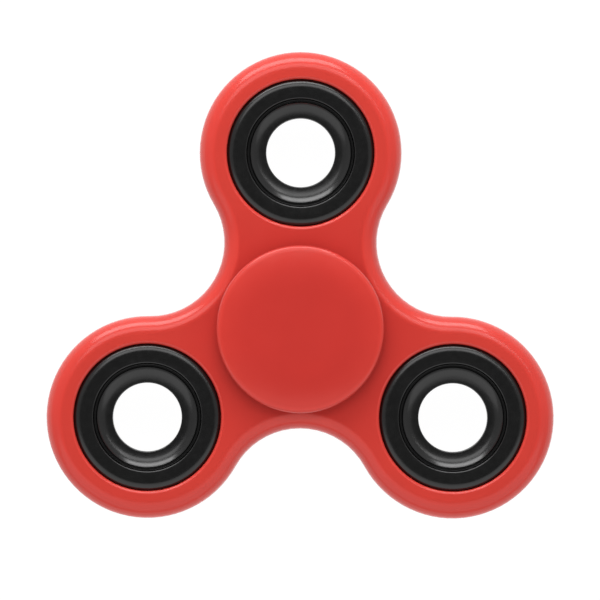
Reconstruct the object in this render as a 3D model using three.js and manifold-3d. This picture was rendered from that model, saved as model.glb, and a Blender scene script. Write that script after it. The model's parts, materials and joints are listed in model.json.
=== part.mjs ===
// A three-lobed fidget spinner: a moulded body that carries three weight rings, turning on a ball bearing
// held between two finger caps. Millimetres, +Z up along the spin axis. The origin is the centre of the
// rear cap's outer face, on which the spinner lies.
import * as THREE from "three";
import { mergeVertices } from "three/addons/utils/BufferGeometryUtils.js";
import Module from "manifold-3d";

const wasm = await Module();
wasm.setup();

// Driving dimensions.
const LOBES = 3;
const ARM = 26.5; // spin axis to weight axis
const LOBE_R = 15.15;
const WAIST_R = 14.9; // spin axis to the outline between two lobes
const BODY_T = 7.6;
const BODY_ROUND = 2.6; // rounding of the body's outer edges
const SEAT_LIP = 0.45; // chamfer where a seat meets the body's faces
const SEAT_GAP = 0.06; // press fit, drawn with a hair of clearance
const CUT_CLEAR = 1; // how far a cutter stands out of the faces it cuts

const RING = {
  outer: 11, half: 3.7, shoulder: 1.24, shoulderR: 1.55, land: 8.5, wall: 8.2, groove: 2.3, rim: 7.5, rimZ: 3.1,
};
const RING_BORE = { r: 5.17, dishR: 6.1, dishZ: 2.35, edgeZ: 2.1 };

const CAP = { r: 12.6, top: 6.5, under: 4.3, flat: 6.2, crown: 0.5, edge: 0.65, chamfer: 0.25 };
const STEM = { r: 3.96, end: 0.25, boss: 5.7, bossZ: 3.52 };
const PIN = { r: 2, top: 4, chamfer: 0.3 };
const SOCKET = { r: 2.05, top: 4.3 };

// Bearing of the 8 x 22 x 7 size.
const BEARING = { bore: 4, outer: 11, half: 3.5, chamfer: 0.3 };
const BALL = { count: 7, r: 1.9845, pitch: 7.5, facets: 12 };
const RACEWAY_R = 2.08; // section radius of the ball grooves
const INNER_SHOULDER = 6.05;
const OUTER_SHOULDER = 8.95;
const RECESS = { r: 9.75, floor: 2.6, clipR: 10.15, clipLow: 2.88, clipHigh: 3.24 };
const SHIELD = { inner: 6.35, step: 8.3, flange: 8.8, outer: 9.68, low: 2.62, raise: 0.22, t: 0.25 };
const CLIP = { inner: 9.55, outer: 10.08, low: 2.91, t: 0.3, opening: 22 };
const CAGE = { inner: 6.85, outer: 8.15, pocket: 2.08, t: 0.25, gap: 0.02, holeR: 0.42, facets: 6 };
const RIVET = { shank: 0.38, head: 0.62, headT: 0.22, gap: 0.02 };

// Facets round a turned part, a small turned part, each arc of the outline, and across each rounding.
const FACETS = {
  turned: 30,
  small: 8,
  lobe: 20,
  waist: 7,
  clip: 24,
  edge: 3,
  corner: 2,
  crown: 3,
  groove: 3,
};
const MID_Z = CAP.top; // height of the body's middle plane

function material(color, roughness, metalness) {
  return new THREE.MeshStandardMaterial({ color, roughness, metalness });
}

const RED_PLASTIC = material(0xd0302b, 0.25, 0);
const BLACK_COAT = material(0x141414, 0.4, 0.3);
const RACE_STEEL = material(0xb9bcc0, 0.25, 1);
const BALL_STEEL = material(0xd5d7da, 0.1, 1);
const CAGE_STEEL = material(0xa9a593, 0.4, 0.9);
const SHIELD_STEEL = material(0xaeb1b5, 0.35, 1);
const SPRING_STEEL = material(0x6d7074, 0.35, 1);

// Points of an arc about (cx, cy), ends included. Angles in radians, signed sweep.
function arc(cx, cy, r, from, to, steps) {
  return Array.from({ length: steps + 1 }, (_, i) => {
    const a = from + ((to - from) * i) / steps;
    return [cx + r * Math.cos(a), cy + r * Math.sin(a)];
  });
}

const mirrored = (profile) => profile.map(([r, z]) => [r, -z]).reverse();

// A solid of revolution about Z from an [r, z] profile that runs anticlockwise.
function turned(profile, { closed = false, facets = FACETS.turned } = {}) {
  const loop = closed ? [...profile, profile[0]] : profile;
  const points = loop.map(([r, z]) => new THREE.Vector2(r, z));
  return new THREE.LatheGeometry(points, facets).rotateX(Math.PI / 2);
}

function toSolid(geometry) {
  const bare = geometry.clone().deleteAttribute("normal").deleteAttribute("uv");
  const merged = mergeVertices(bare);
  const vertProperties = merged.attributes.position.array;
  const triVerts = new Uint32Array(merged.index.array);
  return new wasm.Manifold(new wasm.Mesh({ numProp: 3, vertProperties, triVerts }));
}

function toGeometry(solid) {
  const mesh = solid.getMesh();
  const geometry = new THREE.BufferGeometry();
  geometry.setAttribute("position", new THREE.BufferAttribute(mesh.vertProperties, 3));
  geometry.setIndex(new THREE.BufferAttribute(mesh.triVerts, 1));
  return geometry;
}

function node(name, geometry, look, x = 0, y = 0) {
  const mesh = new THREE.Mesh(geometry, look);
  mesh.name = name;
  mesh.position.set(x, y, 0);
  return mesh;
}

const turn = (share) => share * 2 * Math.PI;
const lobeAngle = (i) => Math.PI / 2 + turn(i / LOBES);
const around = (r, angle) => [r * Math.cos(angle), r * Math.sin(angle)];
const lobeCentre = (i) => around(ARM, lobeAngle(i));

// ---- Body ----

// Convex lobe arcs joined by concave waist arcs that are tangent to them.
function bodyOutline() {
  const half = Math.PI / LOBES;
  const difference = LOBE_R - WAIST_R;
  const reach = (ARM ** 2 - difference ** 2) / (2 * ARM * Math.cos(half) + 2 * difference);
  const waistArcR = reach - WAIST_R;
  // Direction of the waist's centre seen from the lobe's centre, for a lobe on the X axis.
  const lean = Math.atan2(reach * Math.sin(half), reach * Math.cos(half) - ARM);
  const points = [];
  for (let i = 0; i < LOBES; i++) {
    const a = lobeAngle(i);
    const [cx, cy] = lobeCentre(i);
    const [waistX, waistY] = around(reach, a + half);
    const back = a + lean + Math.PI; // from the waist's centre back to this lobe
    const sweep = 2 * (a + half + Math.PI - back); // to the next lobe, which mirrors this one
    points.push(...arc(cx, cy, LOBE_R, a - lean, a + lean, FACETS.lobe).slice(0, -1));
    points.push(...arc(waistX, waistY, waistArcR, back, back + sweep, FACETS.waist).slice(0, -1));
  }
  return new THREE.Shape(points.map(([x, y]) => new THREE.Vector2(x, y)));
}

// What is cut away for a straight seat whose two mouths are chamfered.
function seatCutter(r) {
  const face = BODY_T / 2;
  const upper = [
    [r, face - SEAT_LIP],
    [r + SEAT_LIP, face],
    [r + SEAT_LIP, face + CUT_CLEAR],
    [0, face + CUT_CLEAR],
  ];
  return toSolid(turned([...mirrored(upper), ...upper]));
}

function spinnerBody() {
  const blank = new THREE.ExtrudeGeometry(bodyOutline(), {
    depth: BODY_T - 2 * BODY_ROUND,
    bevelThickness: BODY_ROUND,
    bevelSize: BODY_ROUND,
    bevelOffset: -BODY_ROUND,
    bevelSegments: FACETS.edge,
  });
  blank.translate(0, 0, BODY_ROUND - BODY_T / 2);
  let body = toSolid(blank).subtract(seatCutter(BEARING.outer + SEAT_GAP));
  const weightSeat = seatCutter(RING.outer + SEAT_GAP);
  for (let i = 0; i < LOBES; i++) body = body.subtract(weightSeat.translate([...lobeCentre(i), 0]));
  return toGeometry(body);
}

// ---- Weight ring: a flat land outside, a narrow groove, and a dish that runs down to the bore ----

function weightRing() {
  const cornerR = RING.outer - RING.shoulder;
  const cornerZ = RING.half - RING.shoulderR;
  const cornerLow = Math.acos(RING.shoulder / RING.shoulderR);
  const front = [
    ...arc(cornerR, cornerZ, RING.shoulderR, cornerLow, Math.PI / 2, FACETS.corner),
    [RING.land, RING.half],
    [RING.wall, RING.half - (RING.land - RING.wall)],
    [RING.wall, RING.groove],
    [RING.rim, RING.groove],
    [RING.rim, RING.rimZ],
    [RING_BORE.dishR, RING_BORE.dishZ],
    [RING_BORE.r, RING_BORE.edgeZ],
  ];
  return turned([...front, ...mirrored(front)], { closed: true });
}

// ---- Finger caps ----

// The disc's side and face from its underside to the middle: chamfer, side, rounded edge, crowned face.
function capFace() {
  const rise = CAP.crown;
  const run = CAP.r - CAP.edge - CAP.flat;
  const crownR = (run ** 2 + rise ** 2) / (2 * rise);
  const slope = Math.asin(run / crownR);
  const edgeZ = CAP.top - rise - CAP.edge;
  return [
    [CAP.r - CAP.chamfer, CAP.under],
    [CAP.r, CAP.under + CAP.chamfer],
    ...arc(CAP.r - CAP.edge, edgeZ, CAP.edge, 0, Math.PI / 2 - slope, FACETS.corner),
    ...arc(CAP.flat, CAP.top - crownR, crownR, Math.PI / 2 - slope, Math.PI / 2, FACETS.crown),
    [0, CAP.top],
  ];
}

const capStem = [
  [STEM.r, STEM.end],
  [STEM.r, STEM.bossZ],
  [STEM.boss, STEM.bossZ],
  [STEM.boss, CAP.under],
];

function frontCap() {
  const socket = [
    [0, SOCKET.top],
    [SOCKET.r, SOCKET.top],
    [SOCKET.r, STEM.end],
  ];
  return turned([...socket, ...capStem, ...capFace()]);
}

function rearCap() {
  const pin = [
    [PIN.r, -STEM.end],
    [PIN.r, PIN.top - PIN.chamfer],
    [PIN.r - PIN.chamfer, PIN.top],
    [0, PIN.top],
  ];
  return turned([...mirrored([...capStem, ...capFace()]), ...pin]);
}

// ---- Bearing ----

// Half of a ball groove's section, from the shoulder at radius r down to the middle plane.
function halfGroove(r) {
  const away = r < BALL.pitch ? Math.PI : 0;
  const start = Math.acos(Math.abs(r - BALL.pitch) / RACEWAY_R);
  const from = away ? Math.PI - start : start;
  return arc(BALL.pitch, 0, RACEWAY_R, from, away, FACETS.groove);
}

function outerRace() {
  const { outer, half, chamfer } = BEARING;
  const front = [
    [outer, half - chamfer],
    [outer - chamfer, half],
    [RECESS.r, half],
    [RECESS.r, RECESS.clipHigh],
    [RECESS.clipR, RECESS.clipHigh],
    [RECESS.clipR, RECESS.clipLow],
    [RECESS.r, RECESS.clipLow],
    [RECESS.r, RECESS.floor],
    [OUTER_SHOULDER, RECESS.floor],
    ...halfGroove(OUTER_SHOULDER),
  ];
  return turned([...front, ...mirrored(front.slice(0, -1))], { closed: true });
}

function innerRace() {
  const { bore, half, chamfer } = BEARING;
  const upper = [
    ...halfGroove(INNER_SHOULDER).reverse(),
    [INNER_SHOULDER, half - chamfer / 2],
    [INNER_SHOULDER - chamfer / 2, half],
    [bore + chamfer, half],
    [bore, half - chamfer],
  ];
  return turned([...upper, ...mirrored(upper.slice(1))], { closed: true });
}

// The shield's middle is pressed outwards by a small step.
function shield() {
  const { inner, step, flange, outer, low, raise, t } = SHIELD;
  return turned(
    [
      [inner, low + raise],
      [step, low + raise],
      [flange, low],
      [outer, low],
      [outer, low + t],
      [flange, low + t],
      [step, low + raise + t],
      [inner, low + raise + t],
    ],
    { closed: true },
  );
}

// An open retaining ring, which springs into the outer race's groove.
function clipRing() {
  const half = turn(CLIP.opening / 720);
  const outside = arc(0, 0, CLIP.outer, half, turn(1) - half, FACETS.clip);
  const inside = arc(0, 0, CLIP.inner, turn(1) - half, half, FACETS.clip);
  const shape = new THREE.Shape([...outside, ...inside].map(([x, y]) => new THREE.Vector2(x, y)));
  return new THREE.ExtrudeGeometry(shape, { depth: CLIP.t, bevelEnabled: false }).translate(0, 0, CLIP.low);
}

const ballAngle = (i) => Math.PI / 2 + turn(i / BALL.count);
const rivetAngle = (i) => ballAngle(i + 0.5);

// Half of the ball cage: a ribbon that bridges each ball and lies flat between them. Its section is a
// quad of under and upper corners, at the inner and the outer edge.
function cageHalf() {
  const { inner, outer, pocket, t, gap, facets } = CAGE;
  const lift = Math.asin((gap + t) / (pocket + t)); // where the upper side leaves the flat
  const corners = [];
  const put = (angle, radial, along, z) => {
    const [x, y] = around(radial, angle);
    corners.push(x - along * Math.sin(angle), y + along * Math.cos(angle), z);
  };
  for (let ball = 0; ball < BALL.count; ball++) {
    for (let j = 0; j <= facets; j++) {
      const under = Math.PI * (1 - j / facets);
      const upper = Math.PI - lift - ((Math.PI - 2 * lift) * j) / facets;
      const [underX, underZ] = [pocket * Math.cos(under), Math.max(gap, pocket * Math.sin(under))];
      const [upperX, upperZ] = [(pocket + t) * Math.cos(upper), (pocket + t) * Math.sin(upper)];
      put(ballAngle(ball), inner, underX, underZ);
      put(ballAngle(ball), outer, underX, underZ);
      put(ballAngle(ball), outer, upperX, upperZ);
      put(ballAngle(ball), inner, upperX, upperZ);
    }
  }
  const sections = BALL.count * (facets + 1);
  const faces = [];
  for (let s = 0; s < sections; s++) {
    const here = 4 * s;
    const next = 4 * ((s + 1) % sections);
    for (let k = 0; k < 4; k++) {
      const l = (k + 1) % 4;
      faces.push(here + k, next + l, here + l, here + k, next + k, next + l);
    }
  }
  const ribbon = new THREE.BufferGeometry();
  ribbon.setAttribute("position", new THREE.Float32BufferAttribute(corners, 3));
  ribbon.setIndex(faces);
  const hole = new THREE.CylinderGeometry(CAGE.holeR, CAGE.holeR, 4 * t, FACETS.small).rotateX(Math.PI / 2);
  let half = toSolid(ribbon);
  for (let i = 0; i < BALL.count; i++) {
    half = half.subtract(toSolid(hole).translate([...around(BALL.pitch, rivetAngle(i)), 0]));
  }
  return toGeometry(half);
}

function rivet() {
  const seat = CAGE.gap + CAGE.t + RIVET.gap;
  const upper = [
    [RIVET.shank, seat],
    [RIVET.head, seat],
    [RIVET.head / 2, seat + RIVET.headT],
    [0, seat + RIVET.headT],
  ];
  return turned([...mirrored(upper), ...upper], { facets: FACETS.small });
}

// The same piece turned over for the rear side, and turned half way round.
const rearSide = (geometry) => geometry.clone().rotateX(Math.PI).rotateZ(turn(0.5));

// ---- Assembly, about the middle plane ----

const assembly = new THREE.Group();
assembly.position.z = MID_Z;

assembly.add(node("spinner_body", spinnerBody(), RED_PLASTIC));
for (let i = 0; i < LOBES; i++) {
  assembly.add(node(`weight_ring_${i + 1}`, weightRing(), BLACK_COAT, ...lobeCentre(i)));
}
assembly.add(node("front_finger_cap", frontCap(), RED_PLASTIC));
assembly.add(node("rear_finger_cap", rearCap(), RED_PLASTIC));

assembly.add(node("bearing_outer_race", outerRace(), RACE_STEEL));
assembly.add(node("bearing_inner_race", innerRace(), RACE_STEEL));
assembly.add(node("front_bearing_shield", shield(), SHIELD_STEEL));
assembly.add(node("rear_bearing_shield", rearSide(shield()), SHIELD_STEEL));
assembly.add(node("front_shield_clip", clipRing(), SPRING_STEEL));
assembly.add(node("rear_shield_clip", rearSide(clipRing()), SPRING_STEEL));
assembly.add(node("front_cage_half", cageHalf(), CAGE_STEEL));
assembly.add(node("rear_cage_half", rearSide(cageHalf()), CAGE_STEEL));
for (let i = 0; i < BALL.count; i++) {
  const ball = new THREE.SphereGeometry(BALL.r, BALL.facets, FACETS.small);
  assembly.add(node(`bearing_ball_${i + 1}`, ball, BALL_STEEL, ...around(BALL.pitch, ballAngle(i))));
  assembly.add(node(`cage_rivet_${i + 1}`, rivet(), CAGE_STEEL, ...around(BALL.pitch, rivetAngle(i))));
}

const spinner = new THREE.Group();
spinner.add(assembly);
export default spinner;
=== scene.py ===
import json
import math

import bmesh
import bpy
from mathutils import Matrix, Vector


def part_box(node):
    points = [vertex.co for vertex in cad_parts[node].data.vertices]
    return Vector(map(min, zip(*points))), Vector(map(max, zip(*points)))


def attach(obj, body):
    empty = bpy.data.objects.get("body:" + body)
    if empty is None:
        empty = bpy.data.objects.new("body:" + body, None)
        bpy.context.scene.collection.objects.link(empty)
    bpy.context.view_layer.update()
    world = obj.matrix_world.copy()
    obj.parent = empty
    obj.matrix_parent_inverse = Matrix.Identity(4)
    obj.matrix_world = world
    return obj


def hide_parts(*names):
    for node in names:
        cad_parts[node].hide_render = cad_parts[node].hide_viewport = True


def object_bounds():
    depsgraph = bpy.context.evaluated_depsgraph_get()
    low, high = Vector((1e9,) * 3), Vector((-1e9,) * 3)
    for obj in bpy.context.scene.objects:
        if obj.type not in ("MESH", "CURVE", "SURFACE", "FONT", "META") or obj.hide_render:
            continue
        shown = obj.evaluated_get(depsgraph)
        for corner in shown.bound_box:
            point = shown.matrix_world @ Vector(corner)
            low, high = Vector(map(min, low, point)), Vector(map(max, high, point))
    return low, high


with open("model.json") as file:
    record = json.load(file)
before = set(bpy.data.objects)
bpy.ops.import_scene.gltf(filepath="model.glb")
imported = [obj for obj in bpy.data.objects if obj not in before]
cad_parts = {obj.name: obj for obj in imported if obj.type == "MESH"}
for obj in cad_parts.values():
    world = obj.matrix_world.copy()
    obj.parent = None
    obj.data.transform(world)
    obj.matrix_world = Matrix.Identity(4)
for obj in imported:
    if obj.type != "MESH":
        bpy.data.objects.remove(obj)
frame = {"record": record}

cad_low, cad_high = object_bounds()
MM = 0.001


def middle_of(node):
    low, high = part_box(node)
    return (low + high) / 2 / MM


def size_of(node):
    low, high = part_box(node)
    return (high - low) / MM


# ---- Dimensions ----

LOBES = 3
BALLS = 7
RINGS = [f"weight_ring_{i + 1}" for i in range(LOBES)]
MIDDLE = middle_of("spinner_body").z
ARM = middle_of(RINGS[0]).y  # spin axis to weight axis
LOBE_R = cad_high.y / MM - ARM
WAIST_R = 14.9  # spin axis to the outline between two lobes
BODY_HALF = size_of("spinner_body").z / 2
BODY_ROUND = 2.6
SEAT_R = 11.07
PRESS_GAP = 0.005
PRESSED_R = SEAT_R - PRESS_GAP  # outside of the rings and the bearing, which are pressed in
LIP = 0.5  # rounding of a seat's mouth
SUPPORT = 0.12  # width of the strip that keeps a flat face's shading flat

RING_HALF = size_of(RINGS[0]).z / 2
RING = {"outer": PRESSED_R, "wall": 8.12, "round": 0.2, "groove_z": 2.3, "rim": 7.52}
SHOULDER = {"width": 1.25, "r": 1.55}
DISH = {"arc_r": 2.7, "foot_r": 6.17, "foot_z": 2.33, "foot_slope": 12, "rim_slope": 45}
BORE = {"r": 5.18, "round": 0.15, "drop": 0.28}
SEAM = {"height": 0.03, "half_width": 0.07}  # mould parting line

CAP_R = size_of("front_finger_cap").y / 2
CAP_TOP = cad_high.z / MM - MIDDLE
CAP = {"flat": 6.2, "crown": 0.5, "edge": 0.65, "under": 4.3, "under_round": 0.25}
STEM = {"r": 3.97, "end": 0.25, "boss": 5.7, "boss_z": 3.52, "chamfer": 0.15}
PIN = {"r": 2.0, "top": 4.0, "chamfer": 0.3, "socket_r": 2.05, "socket_top": 4.3}

BEARING = {"bore": 4.0, "outer": PRESSED_R, "half": 3.5, "round": 0.3}
BALL_R = 1.9845
BALL_CUTS = 11
PITCH_R = 7.5
RACEWAY_R = 2.06
INNER_SHOULDER = 6.05
OUTER_SHOULDER = 8.95
RECESS = {"r": 9.75, "floor": 2.6, "clip_r": 10.15, "clip_low": 2.88, "clip_high": 3.24}
SHIELD = {"inner": 6.35, "step": 8.3, "flange": 8.8, "outer": 9.7, "low": 2.62, "raise": 0.22, "t": 0.25}
CLIP = {"inner": 9.55, "outer": 10.1, "low": 2.91, "t": 0.3, "opening": 22}
CAGE = {"inner": 6.85, "outer": 8.15, "pocket": 2.08, "t": 0.25, "gap": 0.02, "hole_r": 0.42}
RIVET = {"shank": 0.38, "head": 0.62, "head_t": 0.24, "play": 0.01}

TURNED_STEPS = 144
SMALL_STEPS = 24
SHARP = math.radians(38)
REAR_SIDE = Matrix.Rotation(math.pi, 3, "Y")


# ---- Mesh tools ----


def arc(cx, cz, r, start, end, steps):
    """Points of an arc about (cx, cz), ends included, with angles in degrees."""
    angles = [math.radians(start + (end - start) * i / steps) for i in range(steps + 1)]
    return [(cx + r * math.cos(a), cz + r * math.sin(a)) for a in angles]


def mirrored(profile):
    return [(r, -z) for r, z in reversed(profile)]


def around(r, degrees):
    return Vector((r * math.cos(math.radians(degrees)), r * math.sin(math.radians(degrees)), 0))


def circle(r, z, steps, centre=Vector((0, 0, 0))):
    return [centre + around(r, 360 * i / steps) + Vector((0, 0, z)) for i in range(steps)]


def join_loops(bm, first, second):
    """Quads between two closed loops with the same count."""
    for i in range(len(first)):
        j = (i + 1) % len(first)
        bm.faces.new((first[i], first[j], second[j], second[i]))


def skin(bm, rows, closed=False):
    """Skins rows of points, and returns the rows of vertices."""
    loops = [[bm.verts.new(p) for p in row] for row in rows]
    for first, second in zip(loops, loops[1:]):
        join_loops(bm, first, second)
    if closed:
        join_loops(bm, loops[-1], loops[0])
    return loops


def finished(name, bm, centre=Vector((0, 0, 0)), rear=False):
    """Makes an object, in the CAD's frame, of a mesh drawn about the middle plane."""
    if rear:
        bmesh.ops.rotate(bm, verts=bm.verts, matrix=REAR_SIDE)
    bmesh.ops.translate(bm, verts=bm.verts, vec=Vector((centre.x, centre.y, MIDDLE)))
    bmesh.ops.scale(bm, verts=bm.verts, vec=(MM, MM, MM))
    bmesh.ops.recalc_face_normals(bm, faces=bm.faces)
    mesh = bpy.data.meshes.new(name)
    bm.to_mesh(mesh)
    bm.free()
    mesh.shade_smooth()
    mesh.set_sharp_from_angle(angle=SHARP)
    piece = bpy.data.objects.new(name, mesh)
    bpy.context.scene.collection.objects.link(piece)
    return piece


def turned(name, profile, centre=Vector((0, 0, 0)), rear=False, steps=TURNED_STEPS):
    """A solid of revolution. A profile that doesn't start and end on the axis closes on itself."""
    bm = bmesh.new()
    solid = profile[0][0] == 0
    rims = profile[1:-1] if solid else profile
    loops = skin(bm, [circle(r, z, steps) for r, z in rims], closed=not solid)
    if solid:
        for loop, height in ((loops[0], profile[0][1]), (loops[-1], profile[-1][1])):
            tip = bm.verts.new((0, 0, height))
            for i in range(steps):
                bm.faces.new((loop[i], loop[(i + 1) % steps], tip))
    return finished(name, bm, centre, rear)


# ---- Body ----


def outline(inset, lobe_steps=54, waist_steps=18):
    """The three-lobed outline moved inwards: lobe arcs and the waist arcs that are tangent to them."""
    half = 180 / LOBES
    difference = LOBE_R - WAIST_R
    reach = (ARM**2 - difference**2) / (2 * ARM * math.cos(math.radians(half)) + 2 * difference)
    to_waist = around(reach, half) - Vector((ARM, 0, 0))
    lean = math.degrees(math.atan2(to_waist.y, to_waist.x))
    points = []
    for i in range(LOBES):
        lobe = 90 + 360 * i / LOBES
        centre = around(ARM, lobe)
        for k in range(lobe_steps):
            points.append(centre + around(LOBE_R - inset, lobe - lean + 2 * lean * k / lobe_steps))
        centre = around(reach, lobe + half)
        back = lobe + lean + 180
        sweep = 2 * (lobe + half + 180 - back)
        for k in range(waist_steps):
            points.append(centre + around(reach - WAIST_R + inset, back + sweep * k / waist_steps))
    return points


def seat_rows(centre, steps=120):
    """A seat's wall with its two rounded mouths, from the front face to the rear one."""
    mouth = arc(SEAT_R + LIP, BODY_HALF - LIP, LIP, 90, 180, 8)
    front = [(SEAT_R + LIP + SUPPORT, BODY_HALF)] + mouth
    return [circle(r, z, steps, centre) for r, z in front + mirrored(front)]


def spinner_body():
    bm = bmesh.new()
    rounding = arc(BODY_ROUND, BODY_HALF - BODY_ROUND, BODY_ROUND, 90, 180, 14)
    front = [(BODY_ROUND + SUPPORT, BODY_HALF)] + rounding + [(0, SEAM["half_width"])]
    side = front + [(-SEAM["height"], 0)] + mirrored(front)
    walls = [skin(bm, [[p + Vector((0, 0, z)) for p in outline(inset)] for inset, z in side])]
    for centre in [Vector((0, 0, 0))] + [around(ARM, 90 + 360 * i / LOBES) for i in range(LOBES)]:
        walls.append(skin(bm, seat_rows(centre)))
    for end in (0, -1):
        rims = []
        for loop in [rows[end] for rows in walls]:
            rims += [bm.edges.get((loop[i - 1], loop[i])) for i in range(len(loop))]
        bmesh.ops.triangle_fill(bm, use_beauty=True, use_dissolve=False, edges=rims)
    return finished("spinner_body_shell", bm)


# ---- Weight rings ----


def weight_ring(number, centre):
    """One casting: a rounded land, a narrow groove, and a dish that runs down to the bore."""
    small = RING["round"]
    shoulder_r = SHOULDER["r"]
    shoulder_low = math.degrees(math.acos(SHOULDER["width"] / shoulder_r))
    dish_r = DISH["foot_r"] - DISH["arc_r"] * math.sin(math.radians(DISH["foot_slope"]))
    dish_z = DISH["foot_z"] + DISH["arc_r"] * math.cos(math.radians(DISH["foot_slope"]))
    dish = arc(dish_r, dish_z, DISH["arc_r"], DISH["rim_slope"] - 90, DISH["foot_slope"] - 90, 10)
    rim_z = dish[0][1]
    bore = BORE["r"]
    front = [
        (RING["outer"], SEAM["half_width"]),
        *arc(RING["outer"] - SHOULDER["width"], RING_HALF - shoulder_r, shoulder_r, shoulder_low, 90, 12),
        *arc(RING["wall"] + small, RING_HALF - small, small, 90, 180, 5),
        *arc(RING["wall"] - small, RING["groove_z"] + small, small, 0, -90, 4),
        *arc(RING["rim"] + small, RING["groove_z"] + small, small, -90, -180, 4),
        (RING["rim"], rim_z - small / 2),
        *dish,
        *arc(bore + BORE["round"], dish[-1][1] - BORE["drop"], BORE["round"], 80, 180, 6),
        (bore, SEAM["half_width"]),
    ]
    seam_in = [(bore - SEAM["height"], 0)]
    seam_out = [(RING["outer"] + SEAM["height"] / 2, 0)]
    return turned(f"{RINGS[number]}_casting", front + seam_in + mirrored(front) + seam_out, centre)


# ---- Finger caps ----


def cap_face():
    """The disc's section, from the corner of its underside to the middle of its face."""
    run = CAP_R - CAP["edge"] - CAP["flat"]
    crown_r = (run**2 + CAP["crown"] ** 2) / (2 * CAP["crown"])
    slope = math.degrees(math.asin(run / crown_r))
    edge_z = CAP_TOP - CAP["crown"] - CAP["edge"]
    small = CAP["under_round"]
    return [
        *arc(CAP_R - small, CAP["under"] + small, small, -90, 0, 5),
        *arc(CAP_R - CAP["edge"], edge_z, CAP["edge"], 0, 90 - slope, 8),
        *arc(CAP["flat"], CAP_TOP - crown_r, crown_r, 90 - slope, 90, 16)[1:],
        (CAP["flat"] - SUPPORT, CAP_TOP),
        (0, CAP_TOP),
    ]


def cap_stem():
    return [
        (STEM["r"] - STEM["chamfer"], STEM["end"]),
        (STEM["r"], STEM["end"] + STEM["chamfer"]),
        (STEM["r"], STEM["boss_z"]),
        (STEM["boss"] - STEM["chamfer"], STEM["boss_z"]),
        (STEM["boss"], STEM["boss_z"] + STEM["chamfer"]),
        (STEM["boss"], CAP["under"]),
    ]


def front_cap():
    socket = [(0, PIN["socket_top"]), (PIN["socket_r"], PIN["socket_top"]), (PIN["socket_r"], STEM["end"])]
    return turned("front_finger_cap_moulding", socket + cap_stem() + cap_face())


def rear_cap():
    tip = [(PIN["r"], PIN["top"] - PIN["chamfer"]), (PIN["r"] - PIN["chamfer"], PIN["top"]), (0, PIN["top"])]
    profile = mirrored(cap_stem() + cap_face()) + [(PIN["r"], -STEM["end"])] + tip
    return turned("rear_finger_cap_moulding", profile)


# ---- Bearing ----


def groove(shoulder, steps=10):
    """Half of a ball groove's section, from its shoulder down to the middle plane."""
    start = math.degrees(math.acos(abs(shoulder - PITCH_R) / RACEWAY_R))
    if shoulder < PITCH_R:
        return arc(PITCH_R, 0, RACEWAY_R, 180 - start, 180, steps)
    return arc(PITCH_R, 0, RACEWAY_R, start, 0, steps)


def outer_race():
    outer, half, small = BEARING["outer"], BEARING["half"], BEARING["round"]
    front = [
        *arc(outer - small, half - small, small, 0, 90, 6),
        (RECESS["r"], half),
        (RECESS["r"], RECESS["clip_high"]),
        (RECESS["clip_r"], RECESS["clip_high"]),
        (RECESS["clip_r"], RECESS["clip_low"]),
        (RECESS["r"], RECESS["clip_low"]),
        (RECESS["r"], RECESS["floor"]),
        (OUTER_SHOULDER, RECESS["floor"]),
        *groove(OUTER_SHOULDER),
    ]
    return turned("bearing_outer_race_ground", front + mirrored(front[:-1]))


def inner_race():
    bore, half, small = BEARING["bore"], BEARING["half"], BEARING["round"]
    corner = small / 2
    front = [
        *reversed(groove(INNER_SHOULDER)),
        *arc(INNER_SHOULDER - corner, half - corner, corner, 0, 90, 4),
        *arc(bore + small, half - small, small, 90, 180, 6),
    ]
    return turned("bearing_inner_race_ground", front + mirrored(front[1:]))


def shield(side):
    inner, outer, low, t = SHIELD["inner"], SHIELD["outer"], SHIELD["low"], SHIELD["t"]
    raised = low + SHIELD["raise"]
    under = [(inner, raised), (SHIELD["step"], raised), (SHIELD["flange"], low), (outer, low)]
    upper = [(outer, low + t), (SHIELD["flange"], low + t), (SHIELD["step"], raised + t), (inner, raised + t)]
    return turned(f"{side}_bearing_shield_pressing", under + upper, rear=side == "rear")


def clip(side, steps=110):
    """The open spring ring that holds a shield, with rounded wire corners."""
    bm = bmesh.new()
    bevel = CLIP["t"] * 0.2
    low, high = CLIP["low"], CLIP["low"] + CLIP["t"]
    section = [
        (CLIP["inner"], low + bevel), (CLIP["inner"] + bevel, low), (CLIP["outer"] - bevel, low),
        (CLIP["outer"], low + bevel), (CLIP["outer"], high - bevel), (CLIP["outer"] - bevel, high),
        (CLIP["inner"] + bevel, high), (CLIP["inner"], high - bevel),
    ]
    start, sweep = CLIP["opening"] / 2, 360 - CLIP["opening"]
    rows = [
        [around(r, start + sweep * i / steps) + Vector((0, 0, z)) for r, z in section]
        for i in range(steps + 1)
    ]
    loops = skin(bm, rows)
    for loop in (loops[0], loops[-1]):
        bm.faces.new(loop)
    return finished(f"{side}_shield_clip_wire", bm, rear=side == "rear")


def ball_angle(i):
    return 90 + 360 * i / BALLS


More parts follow.
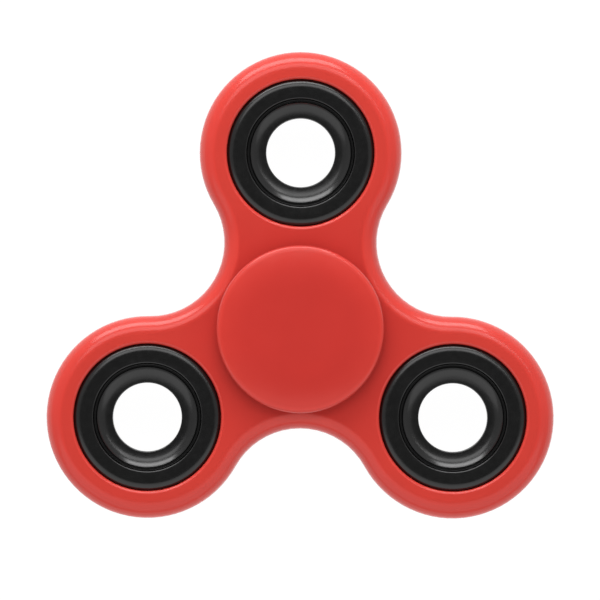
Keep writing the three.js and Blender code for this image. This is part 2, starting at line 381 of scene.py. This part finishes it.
def cage_half(side, pocket_steps=20):
    """A ribbon that bridges each ball and lies flat between them, pierced for a rivet in each flat."""
    pocket, gap, t = CAGE["pocket"], CAGE["gap"], CAGE["t"]
    lift = math.degrees(math.asin((gap + t) / (pocket + t)))
    rows = []
    for ball in range(BALLS):
        outwards = around(1, ball_angle(ball))
        along = around(1, ball_angle(ball) + 90)
        unders = arc(0, 0, pocket, 180, 0, pocket_steps)
        uppers = arc(0, 0, pocket + t, 180 - lift, lift, pocket_steps)
        for (under_x, under_z), (upper_x, upper_z) in zip(unders, uppers):
            under = along * under_x + Vector((0, 0, max(gap, under_z)))
            upper = along * upper_x + Vector((0, 0, upper_z))
            inner, outer = outwards * CAGE["inner"], outwards * CAGE["outer"]
            rows.append([inner + under, outer + under, outer + upper, inner + upper])
    bm = bmesh.new()
    skin(bm, rows, closed=True)
    piece = finished(f"{side}_cage_half_pressing", bm, rear=side == "rear")
    cutter = bmesh.new()
    for i in range(BALLS):
        at = around(PITCH_R, ball_angle(i + 0.5)) + Vector((0, 0, gap + t / 2))
        bmesh.ops.create_cone(
            cutter, cap_ends=True, segments=SMALL_STEPS, radius1=CAGE["hole_r"], radius2=CAGE["hole_r"],
            depth=2 * t, matrix=Matrix.Translation(at),
        )
    cut(piece, finished("cage_holes", cutter, rear=side == "rear"))
    return piece


def cut(piece, cutter):
    boolean = piece.modifiers.new("cut", "BOOLEAN")
    boolean.operation = "DIFFERENCE"
    boolean.object = cutter
    shape = piece.evaluated_get(bpy.context.evaluated_depsgraph_get())
    piece.data = bpy.data.meshes.new_from_object(shape)
    piece.modifiers.clear()
    piece.data.shade_smooth()
    piece.data.set_sharp_from_angle(angle=SHARP)
    bpy.data.objects.remove(cutter)


def rivet(number):
    """A rivet whose two domed heads hold the cage halves together."""
    seat = CAGE["gap"] + CAGE["t"] + RIVET["play"]
    rise, head = RIVET["head_t"], RIVET["head"]
    dome_r = (head**2 + rise**2) / (2 * rise)
    slope = math.degrees(math.asin(head / dome_r))
    dome = arc(0, seat + rise - dome_r, dome_r, 90 - slope, 90, 6)
    upper = [(RIVET["shank"], seat), *dome[:-1], (0, seat + rise)]
    centre = around(PITCH_R, ball_angle(number + 0.5))
    return turned(f"cage_rivet_{number + 1}_domed", mirrored(upper) + upper, centre, steps=SMALL_STEPS)


def ball(number):
    """A ball skinned from the six faces of a cube, so that it has no poles."""
    bm = bmesh.new()
    bmesh.ops.create_cube(bm, size=2)
    bmesh.ops.subdivide_edges(bm, edges=bm.edges, cuts=BALL_CUTS, use_grid_fill=True)
    for vert in bm.verts:
        vert.co = Vector([math.tan(c * math.pi / 4) for c in vert.co]).normalized() * BALL_R
    return finished(f"bearing_ball_{number + 1}_lapped", bm, around(PITCH_R, ball_angle(number)))


# ---- Materials ----

WAVE_RATE = 20  # radians of a wave texture in one unit of length


def set_range(span, from_low, from_high, to_low, to_high):
    """Sets the limits of a Map Range node."""
    span.inputs["From Min"].default_value = from_low
    span.inputs["From Max"].default_value = from_high
    span.inputs["To Min"].default_value = to_low
    span.inputs["To Max"].default_value = to_high


class Finish:
    """A Principled material, and the nodes that vary it over the surface."""

    def __init__(self, slot, color, roughness, metallic=0.0):
        self.material = bpy.data.materials.new(slot)
        self.material.use_nodes = True
        self.tree = self.material.node_tree
        self.shader = self.tree.nodes["Principled BSDF"]
        self.color = color
        self.roughness = roughness
        self.shader.inputs["Base Color"].default_value = (*color, 1)
        self.shader.inputs["Roughness"].default_value = roughness
        self.shader.inputs["Metallic"].default_value = metallic
        self.place = self.add("ShaderNodeTexCoord").outputs["Object"]
        self.bumped = None

    def add(self, kind, **settings):
        node = self.tree.nodes.new(kind)
        for key, value in settings.items():
            setattr(node, key, value)
        return node

    def link(self, source, target):
        self.tree.links.new(source, target)

    def noise(self, feature, detail=2.0, stretch=(1, 1, 1)):
        """Noise whose features are that many millimetres wide."""
        scaled = self.add("ShaderNodeMapping")
        scaled.inputs["Scale"].default_value = [s / (feature * MM) for s in stretch]
        self.link(self.place, scaled.inputs["Vector"])
        noise = self.add("ShaderNodeTexNoise")
        noise.inputs["Scale"].default_value = 1
        noise.inputs["Detail"].default_value = detail
        self.link(scaled.outputs["Vector"], noise.inputs["Vector"])
        return noise.outputs["Fac"]

    def mapped(self, value, low, high, from_low=0.3, from_high=0.7):
        span = self.add("ShaderNodeMapRange")
        set_range(span, from_low, from_high, low, high)
        self.link(value, span.inputs["Value"])
        return span.outputs["Result"]

    def tint(self, feature, change):
        """Slow changes of shade."""
        tone = self.add("ShaderNodeHueSaturation")
        tone.inputs["Color"].default_value = (*self.color, 1)
        self.link(self.mapped(self.noise(feature), 1 - change, 1 + change), tone.inputs["Value"])
        self.link(tone.outputs["Color"], self.shader.inputs["Base Color"])
        return tone.inputs["Color"]

    def blend(self, factor, first, second):
        """The colour, from the first at factor 0 to the second at 1. Each is a colour or another blend."""
        mix = self.add("ShaderNodeMix", data_type="RGBA")
        self.link(factor, mix.inputs["Factor"])
        for socket, color in ((mix.inputs[6], first), (mix.inputs[7], second)):
            if isinstance(color, tuple):
                socket.default_value = (*color, 1)
            else:
                self.link(color, socket)
        return mix.outputs[2]

    def distance(self, near, far):
        """Rises from 0 to 1 between two distances from the spinner's axis, in millimetres."""
        flat = self.add("ShaderNodeVectorMath", operation="MULTIPLY")
        flat.inputs[1].default_value = (1, 1, 0)
        self.link(self.place, flat.inputs[0])
        radius = self.add("ShaderNodeVectorMath", operation="LENGTH")
        self.link(flat.outputs["Vector"], radius.inputs[0])
        return self.mapped(radius.outputs["Value"], 0, 1, near * MM, far * MM)

    def sloped(self, start, full, fade, end):
        """1 where the surface slopes between full and fade degrees, 0 below start and above end."""
        normal = self.add("ShaderNodeTexCoord").outputs["Normal"]
        axis = self.add("ShaderNodeVectorMath", operation="DOT_PRODUCT")
        axis.inputs[1].default_value = (0, 0, 1)
        self.link(normal, axis.inputs[0])
        level = self.add("ShaderNodeMath", operation="ABSOLUTE")
        self.link(axis.outputs["Value"], level.inputs[0])
        start, full, fade, end = (math.cos(math.radians(angle)) for angle in (start, full, fade, end))
        both = self.add("ShaderNodeMath", operation="MULTIPLY")
        self.link(self.mapped(level.outputs["Value"], 1, 0, full, start), both.inputs[0])
        self.link(self.mapped(level.outputs["Value"], 0, 1, end, fade), both.inputs[1])
        return both.outputs["Value"]

    def mottle(self, feature, change, scratches=0.0):
        """Patches of higher and lower gloss, crossed by fine hairlines."""
        gloss = self.mapped(self.noise(feature, detail=4), self.roughness - change, self.roughness + change)
        for stretch in ((1, 0.03, 1), (0.04, 1, 1)):
            if scratches:
                hair = self.mapped(self.noise(0.12, stretch=stretch), 0, scratches, 0.66, 0.74)
                total = self.add("ShaderNodeMath", operation="ADD")
                self.link(gloss, total.inputs[0])
                self.link(hair, total.inputs[1])
                gloss = total.outputs[0]
        self.link(gloss, self.shader.inputs["Roughness"])

    def bump(self, height, depth):
        """Relief that many millimetres deep."""
        bump = self.add("ShaderNodeBump")
        bump.inputs["Distance"].default_value = depth * MM
        self.link(height, bump.inputs["Height"])
        if self.bumped:
            self.link(self.bumped, bump.inputs["Normal"])
        self.bumped = bump.outputs["Normal"]
        self.link(self.bumped, self.shader.inputs["Normal"])

    def rings(self, width, depth):
        """The circular lines that grinding or turning leaves, 2 pi widths apart."""
        wave = self.add("ShaderNodeTexWave", wave_type="RINGS", rings_direction="Z")
        wave.inputs["Scale"].default_value = 1 / (width * MM * WAVE_RATE)
        wave.inputs["Distortion"].default_value = 0.6
        self.link(self.place, wave.inputs["Vector"])
        self.bump(wave.outputs["Fac"], depth)


def red_plastic():
    """Moulded ABS: glossy, with a faint orange peel and hairlines from handling.

    Its colour carries painted shade, darker round the middle, and painted light, lighter on the rounded
    edges.
    """
    # middle is painted shade round the caps; edge is painted light on the sloping rounded edges
    lobe, middle, edge = (0.665, 0.05, 0.036), (0.605, 0.038, 0.029), (0.73, 0.05, 0.036)
    finish = Finish("red_plastic", lobe, 0.2)
    finish.shader.inputs["IOR"].default_value = 1.46
    # painted shade: the colour darkens towards the spin axis
    with_middle_shade = finish.blend(finish.distance(12, 24), middle, lobe)
    # painted light: the colour lightens where the surface slopes
    finish.link(finish.blend(finish.sloped(3, 12, 38, 55), with_middle_shade, edge), finish.tint(9, 0.025))
    finish.mottle(2.4, 0.03, scratches=0.03)
    finish.bump(finish.noise(0.9), 0.004)
    finish.bump(finish.noise(0.16), 0.0006)
    return finish.material


def black_coat():
    """A satin black coat over a casting, whose grain shows through."""
    finish = Finish("black_coat", (0.0025, 0.0025, 0.0025), 0.23)
    finish.shader.inputs["IOR"].default_value = 1.61
    finish.tint(1.6, 0.1)
    finish.mottle(0.9, 0.03, scratches=0.02)
    finish.bump(finish.noise(0.55, detail=3), 0.005)
    finish.bump(finish.noise(0.12), 0.0008)
    return finish.material


def steel(slot, color, roughness, ring_width=0.0, tint=0.06):
    finish = Finish(slot, color, roughness, metallic=1.0)
    finish.tint(1.2, tint)
    finish.mottle(0.5, roughness * 0.2)
    if ring_width:
        finish.rings(ring_width, 0.002)
    finish.bump(finish.noise(0.1), 0.0006)
    return finish.material


MATERIALS = {
    "red_plastic": red_plastic(),
    "black_coat": black_coat(),
    "race_steel": steel("race_steel", (0.50, 0.51, 0.52), 0.24, ring_width=0.12),
    "ball_steel": steel("ball_steel", (0.65, 0.66, 0.67), 0.08, tint=0.02),
    "cage_steel": steel("cage_steel", (0.42, 0.40, 0.35), 0.38),
    "shield_steel": steel("shield_steel", (0.46, 0.47, 0.48), 0.3, ring_width=0.2),
    "spring_steel": steel("spring_steel", (0.20, 0.21, 0.22), 0.33),
}


# ---- Pieces ----

BODY_OF = {node: body for body, nodes in frame["record"]["behaviour"]["bodies"].items() for node in nodes}
SLOT_OF = {part["node"]: part["material_slot"] for part in frame["record"]["subparts"]}


def stand_in(piece, node):
    """Shows a piece in place of its CAD node, with that node's body and finish."""
    piece.data.materials.clear()
    piece.data.materials.append(MATERIALS[SLOT_OF[node]])
    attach(piece, BODY_OF[node])
    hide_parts(node)


stand_in(spinner_body(), "spinner_body")
for i, ring in enumerate(RINGS):
    stand_in(weight_ring(i, around(ARM, 90 + 360 * i / LOBES)), ring)
stand_in(front_cap(), "front_finger_cap")
stand_in(rear_cap(), "rear_finger_cap")
stand_in(outer_race(), "bearing_outer_race")
stand_in(inner_race(), "bearing_inner_race")
for side in ("front", "rear"):
    stand_in(shield(side), f"{side}_bearing_shield")
    stand_in(clip(side), f"{side}_shield_clip")
    stand_in(cage_half(side), f"{side}_cage_half")
for i in range(BALLS):
    stand_in(ball(i), f"bearing_ball_{i + 1}")
    stand_in(rivet(i), f"cage_rivet_{i + 1}")


# ---- Light table, studio and camera, in metres ----

VIEW_MIDDLE = Vector((-0.00005, 0.00439, MIDDLE * MM))
VIEW_WIDTH = 0.09023
VIEW_DISTANCE = 2.0
VIEW_ROLL = math.radians(0.12)
TABLE_HALF = 4
TABLE_GLOW = 0.98


def light_table():
    bm = bmesh.new()
    bmesh.ops.create_grid(bm, x_segments=1, y_segments=1, size=TABLE_HALF)
    mesh = bpy.data.meshes.new("light_table")
    bm.to_mesh(mesh)
    bm.free()
    table = bpy.data.objects.new("light_table", mesh)
    table.location.z = cad_low.z
    bpy.context.scene.collection.objects.link(table)
    glow = bpy.data.materials.new("light_table")
    glow.use_nodes = True
    shader = glow.node_tree.nodes["Principled BSDF"]
    shader.inputs["Base Color"].default_value = (0.08, 0.08, 0.08, 1)
    shader.inputs["Roughness"].default_value = 0.9
    shader.inputs["Specular IOR Level"].default_value = 0
    shader.inputs["Emission Color"].default_value = (1, 1, 1, 1)
    shader.inputs["Emission Strength"].default_value = TABLE_GLOW
    mesh.materials.append(glow)


def softbox(name, azimuth, elevation, distance, width, height, power):
    """An area light that faces the object. Azimuth 90 is towards +Y."""
    light = bpy.data.lights.new(name, "AREA")
    light.shape = "RECTANGLE"
    light.size = width
    light.size_y = height
    light.energy = power
    box = bpy.data.objects.new(name, light)
    level = math.radians(elevation)
    away = around(math.cos(level), azimuth) + Vector((0, 0, math.sin(level)))
    box.location = VIEW_MIDDLE + away * distance
    box.rotation_euler = away.to_track_quat("Z", "Y").to_euler()
    bpy.context.scene.collection.objects.link(box)


def studio_walls():
    """Light from all round: brightest at the horizon, dark overhead, and stronger from +Y than from -Y."""
    world = bpy.data.worlds.new("studio")
    bpy.context.scene.world = world
    world.use_nodes = True
    tree = world.node_tree
    direction = tree.nodes.new("ShaderNodeTexCoord")
    height = tree.nodes.new("ShaderNodeSeparateXYZ")
    ramp = tree.nodes.new("ShaderNodeValToRGB")
    tree.links.new(direction.outputs["Generated"], height.inputs[0])
    tree.links.new(height.outputs["Z"], ramp.inputs["Fac"])
    tree.links.new(ramp.outputs["Color"], tree.nodes["Background"].inputs["Color"])
    span = tree.nodes.new("ShaderNodeMapRange")
    set_range(span, -1, 1, 0.85, 1.25)
    tree.links.new(height.outputs["Y"], span.inputs["Value"])
    tree.links.new(span.outputs["Result"], tree.nodes["Background"].inputs["Strength"])
    stops = ((0.0, 0.5), (0.15, 0.5), (0.4, 0.45), (0.82, 0.4), (0.95, 0.13))  # sine of elevation, brightness
    for _ in stops[2:]:
        ramp.color_ramp.elements.new(0.5)
    for element, (at, brightness) in zip(ramp.color_ramp.elements, stops):
        element.position = at
        element.color = (brightness, brightness, brightness, 1)


def camera():
    lens = bpy.data.cameras.new("camera")
    lens.lens = lens.sensor_width * VIEW_DISTANCE / VIEW_WIDTH
    eye = bpy.data.objects.new("camera", lens)
    eye.location = VIEW_MIDDLE + Vector((0, 0, VIEW_DISTANCE))
    eye.rotation_euler.z = VIEW_ROLL
    bpy.context.scene.collection.objects.link(eye)
    bpy.context.scene.camera = eye


light_table()
studio_walls()
softbox("back_softbox", azimuth=97, elevation=21, distance=0.45, width=0.5, height=0.21, power=1.6)
softbox("upper_softbox", azimuth=95, elevation=58, distance=0.5, width=0.5, height=0.2, power=0.6)
softbox("front_softbox", azimuth=270, elevation=45, distance=0.8, width=2.4, height=0.9, power=4.2)
softbox("strip_light", azimuth=47, elevation=49, distance=0.6, width=0.3, height=0.02, power=0.09)
camera()
bpy.context.scene.view_settings.view_transform = "Standard"
